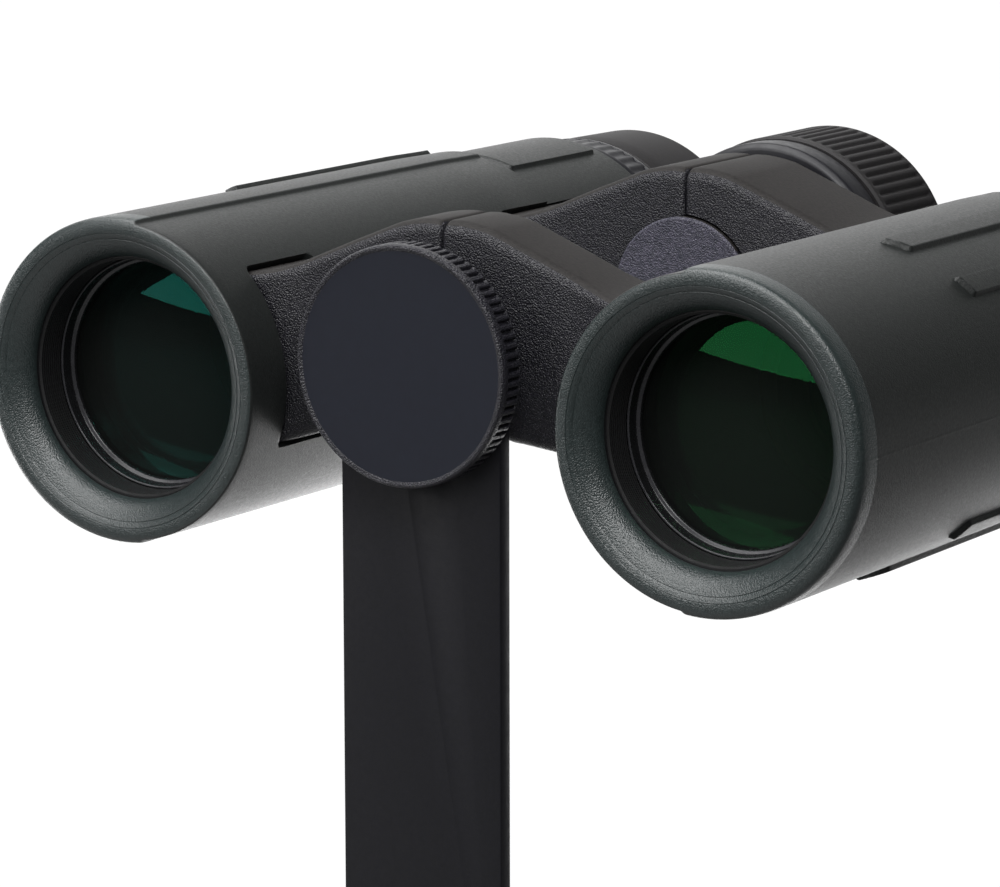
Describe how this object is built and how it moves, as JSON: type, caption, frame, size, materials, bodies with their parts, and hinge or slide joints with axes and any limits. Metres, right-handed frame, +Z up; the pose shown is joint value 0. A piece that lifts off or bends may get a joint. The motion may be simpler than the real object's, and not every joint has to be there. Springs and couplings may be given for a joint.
{
  "type": "binoculars",
  "caption": "Compact open-bridge roof-prism binoculars in green-grey rubber armour, screwed by a knurled knob to an L-shaped tripod adapter.",
  "frame": {"origin": "middle of the lower flat face of the tripod adapter's foot", "axes": "+X to the right seen from the objectives, +Y along the barrels from the objectives to the eyecups, +Z up along the adapter plate"},
  "size_m": [0.1214, 0.1175, 0.1063],
  "materials": {
    "armour_rubber": "moulded green-grey rubber, fine pebble grain, satin",
    "pebbled_black": "black with a coarse leather pebble, satin",
    "grip_rubber": "black rubber, matt",
    "ring_black": "black, satin",
    "inner_black": "matt black, threaded against stray light",
    "steel": "turned",
    "brass": "turned",
    "lens_glass": "green anti-reflection coating",
    "prism_glass": "polished",
    "adapter_paint": "blue-black powder coat, satin",
    "knob_paint": "dark navy grey, fine matt",
    "nylon": "natural"
  },
  "bodies": {
    "adapter": {"adapter_plate": "adapter_paint", "tripod_bush": "brass"},
    "knob_washer": {"knob_washer": "nylon"},
    "clamp_knob": {"clamp_knob": "knob_paint", "clamp_stud": "steel"},
    "hinge_core": {"tripod_socket": "steel"},
    "left_half": {"left_body_casting": "pebbled_black", "left_armour": "armour_rubber", "left_objective_cell": "inner_black", "left_objective_retaining_ring": "ring_black", "left_objective_crown_lens": "lens_glass", "left_objective_flint_lens": "lens_glass", "left_objective_seal": "grip_rubber", "left_prism_cage": "inner_black", "left_entrance_prism": "prism_glass", "left_roof_prism": "prism_glass", "left_ocular_housing": "ring_black", "left_strap_lug": "steel", "left_link_cover": "pebbled_black", "left_ocular_cell": "inner_black", "left_field_lens": "lens_glass", "left_eye_lens": "lens_glass", "left_trim_ring": "ring_black", "rear_hinge_pin": "steel"},
    "right_half": {"right_body_casting": "pebbled_black", "right_armour": "armour_rubber", "right_objective_cell": "inner_black", "right_objective_retaining_ring": "ring_black", "right_objective_crown_lens": "lens_glass", "right_objective_flint_lens": "lens_glass", "right_objective_seal": "grip_rubber", "right_prism_cage": "inner_black", "right_entrance_prism": "prism_glass", "right_roof_prism": "prism_glass", "right_ocular_housing": "ring_black", "right_strap_lug": "steel", "right_link_cover": "pebbled_black"},
    "focus_wheel": {"focus_wheel_hub": "ring_black", "focus_wheel_grip": "grip_rubber", "focus_wheel_cap": "ring_black", "focus_spindle": "brass"},
    "focus_nut": {"focus_nut": "brass"},
    "left_focus": {"left_focus_link": "steel", "left_focus_carrier": "brass", "left_focus_lens": "lens_glass"},
    "right_focus": {"right_focus_link": "steel", "right_focus_carrier": "brass", "right_focus_lens": "lens_glass"},
    "dioptre_ring": {"right_dioptre_ring": "ring_black"},
    "right_ocular": {"right_ocular_cell": "inner_black", "right_field_lens": "lens_glass", "right_eye_lens": "lens_glass"},
    "left_eyecup_drive": {"left_eyecup_drive_ring": "ring_black"},
    "left_eyecup": {"left_eyecup_sleeve": "ring_black", "left_eyecup_rubber": "grip_rubber"},
    "right_eyecup_drive": {"right_eyecup_drive_ring": "ring_black"},
    "right_eyecup": {"right_eyecup_sleeve": "ring_black", "right_eyecup_rubber": "grip_rubber"}
  },
  "joints": [
    {"name": "knob_back_off", "type": "slide", "parent": "adapter", "child": "knob_washer", "axis": [0, -1, 0], "range_m": [0, 0.00382]},
    {"name": "clamp_turn", "type": "hinge", "parent": "knob_washer", "child": "clamp_knob", "pos_m": [0, -0.02, 0.09], "axis": [0, -1, 0], "range_deg": [0, 1080]},
    {"name": "binocular_swivel", "type": "hinge", "parent": "adapter", "child": "hinge_core", "pos_m": [0, -0.02, 0.09], "axis": [0, 1, 0], "range_deg": [-2.5, 2.5]},
    {"name": "left_fold", "type": "hinge", "parent": "hinge_core", "child": "left_half", "pos_m": [0, -0.02, 0.09], "axis": [0, -1, 0], "range_deg": [0, 30]},
    {"name": "right_fold", "type": "hinge", "parent": "hinge_core", "child": "right_half", "pos_m": [0, -0.02, 0.09], "axis": [0, 1, 0], "range_deg": [0, 30]},
    {"name": "focus_turn", "type": "hinge", "parent": "left_half", "child": "focus_wheel", "pos_m": [0, -0.02, 0.09], "axis": [0, 1, 0], "range_deg": [-72, 360]},
    {"name": "focus_nut_travel", "type": "slide", "parent": "left_half", "child": "focus_nut", "axis": [0, 1, 0], "range_m": [-0.00061, 0.00301]},
    {"name": "left_focus_travel", "type": "slide", "parent": "left_half", "child": "left_focus", "axis": [0, 1, 0], "range_m": [-0.00061, 0.00301]},
    {"name": "right_focus_travel", "type": "slide", "parent": "right_half", "child": "right_focus", "axis": [0, 1, 0], "range_m": [-0.00061, 0.00301]},
    {"name": "right_ocular_travel", "type": "slide", "parent": "right_half", "child": "right_ocular", "axis": [0, 1, 0], "range_m": [-0.001, 0.001]},
    {"name": "dioptre_turn", "type": "hinge", "parent": "right_half", "child": "dioptre_ring", "pos_m": [0.038, -0.02, 0.085], "axis": [0, 1, 0], "range_deg": [-60.2, 60.2]},
    {"name": "left_eyecup_turn", "type": "hinge", "parent": "left_half", "child": "left_eyecup_drive", "pos_m": [-0.038, -0.02, 0.085], "axis": [0, 1, 0], "range_deg": [0, 120]},
    {"name": "left_eyecup_rise", "type": "slide", "parent": "left_eyecup_drive", "child": "left_eyecup", "axis": [0, 1, 0], "range_m": [0, 0.00651]},
    {"name": "right_eyecup_turn", "type": "hinge", "parent": "right_half", "child": "right_eyecup_drive", "pos_m": [0.038, -0.02, 0.085], "axis": [0, 1, 0], "range_deg": [0, 120]},
    {"name": "right_eyecup_rise", "type": "slide", "parent": "right_eyecup_drive", "child": "right_eyecup", "axis": [0, 1, 0], "range_m": [0, 0.00651]}
  ],
  "couplings": [
    {"joint": "knob_back_off", "follows": "clamp_turn", "m_per_rad": 0.00020213},
    {"joint": "right_fold", "follows": "left_fold", "ratio": 1},
    {"joint": "focus_nut_travel", "follows": "focus_turn", "m_per_rad": 0.00047746},
    {"joint": "left_focus_travel", "follows": "focus_turn", "m_per_rad": 0.00047746},
    {"joint": "right_focus_travel", "follows": "focus_turn", "m_per_rad": 0.00047746},
    {"joint": "dioptre_turn", "follows": "right_ocular_travel", "rad_per_m": 1047.2},
    {"joint": "left_eyecup_rise", "follows": "left_eyecup_turn", "m_per_rad": 0.0031035},
    {"joint": "right_eyecup_rise", "follows": "right_eyecup_turn", "m_per_rad": 0.0031035}
  ]
}
